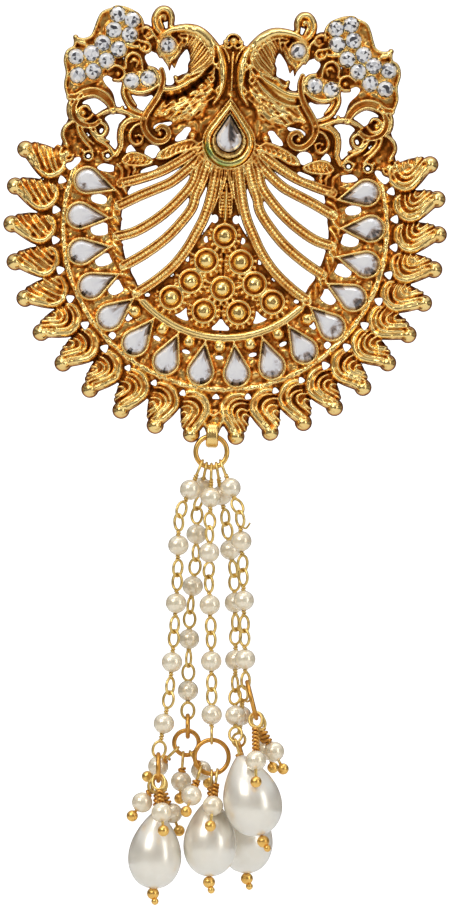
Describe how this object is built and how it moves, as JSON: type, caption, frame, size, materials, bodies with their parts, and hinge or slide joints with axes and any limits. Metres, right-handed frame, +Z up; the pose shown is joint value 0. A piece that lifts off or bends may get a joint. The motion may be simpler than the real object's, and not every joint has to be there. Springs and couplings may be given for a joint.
{
  "type": "hair bun pin",
  "caption": "Ornamental hair bun pin: a round pierced gilt plate set with clear stones, paired peacocks above, a pearl tassel below and a two-legged pin behind.",
  "frame": {"origin": "the seat of the pin on the plate's flat back, where it lies against the hair", "axes": "+Z up as the pin hangs in the picture, +X to the viewer's right, -Y the way the relief faces; the legs run towards +Y"},
  "size_m": [0.0664, 0.0688, 0.1341],
  "materials": {
    "antique_gold": "cast, gilt, bright on the raised lines and red-brown in the hollows",
    "pin_gold": "smooth gilt wire",
    "wire_gold": "thin gilt wire",
    "ring_gold": "polished gilt wire",
    "clear_stone": "clear, cut and foil-backed",
    "small_pearl": "cream pearl",
    "drop_pearl": "white satin pearl"
  },
  "bodies": {
    "root": {"plate": "antique_gold", "hair_pin": "pin_gold", "centre_stone": "clear_stone", "rim_stone_01": "clear_stone", "rim_stone_02": "clear_stone", "rim_stone_03": "clear_stone", "rim_stone_04": "clear_stone", "rim_stone_05": "clear_stone", "rim_stone_06": "clear_stone", "rim_stone_07": "clear_stone", "rim_stone_08": "clear_stone", "rim_stone_09": "clear_stone", "rim_stone_10": "clear_stone", "rim_stone_11": "clear_stone", "rim_stone_12": "clear_stone", "rim_stone_13": "clear_stone", "rim_stone_14": "clear_stone", "rim_stone_15": "clear_stone", "rim_stone_16": "clear_stone", "chatons_left": "clear_stone", "chatons_right": "clear_stone", "top_ring": "ring_gold", "strand_a_pins": "wire_gold", "strand_b_pins": "wire_gold", "strand_c_pins": "wire_gold", "strand_d_pins": "wire_gold", "strand_e_pins": "wire_gold", "strand_a_pearls": "small_pearl", "strand_b_pearls": "small_pearl", "strand_c_pearls": "small_pearl", "strand_d_pearls": "small_pearl", "strand_e_pearls": "small_pearl", "ring_a": "ring_gold", "ring_b": "ring_gold", "ring_c": "ring_gold", "ring_d": "ring_gold", "ring_e": "ring_gold", "drop_pearl_1": "drop_pearl", "drop_pearl_2": "drop_pearl", "drop_pearl_3": "drop_pearl", "drop_pearl_4": "drop_pearl", "drop_pin_1": "wire_gold", "drop_pin_2": "wire_gold", "drop_pin_3": "wire_gold", "drop_pin_4": "wire_gold", "charm_pins": "wire_gold", "charm_pearls": "small_pearl"}
  },
  "joints": []
}
